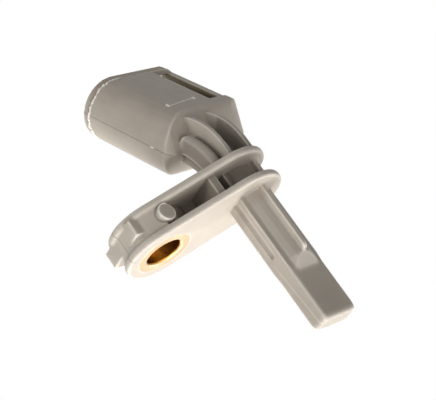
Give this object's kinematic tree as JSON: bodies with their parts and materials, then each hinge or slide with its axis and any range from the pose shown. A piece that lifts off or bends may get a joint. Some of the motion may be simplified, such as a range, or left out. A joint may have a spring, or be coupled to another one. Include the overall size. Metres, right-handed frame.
{
  "type": "wheel speed sensor",
  "caption": "Moulded wheel speed sensor: a shrouded plug socket on a bent neck, a slotted flange with a brass bolt bush, and a flat ribbed stem with a sensing tip.",
  "frame": {"origin": "on the seat face of the flange, midway between the bolt axis and the stem axis", "axes": "+Z is the outward normal of the seat face and points along the stem to its sensing tip; +X points from the stem to the bolt side across the mould halves' parting face; +Y is the direction in which the mould opens, and the plug socket leans towards it"},
  "size_m": [0.033, 0.0251, 0.0613],
  "materials": {
    "housing": "satin grey moulded nylon with a warm tint",
    "bush": "machined",
    "contact": "tin plated strip",
    "chip": "black moulding compound"
  },
  "bodies": {
    "root": {"sensor_body": "housing", "bolt_bush": "bush", "contact_right": "contact", "contact_left": "contact", "sensing_chip": "chip"}
  },
  "joints": []
}
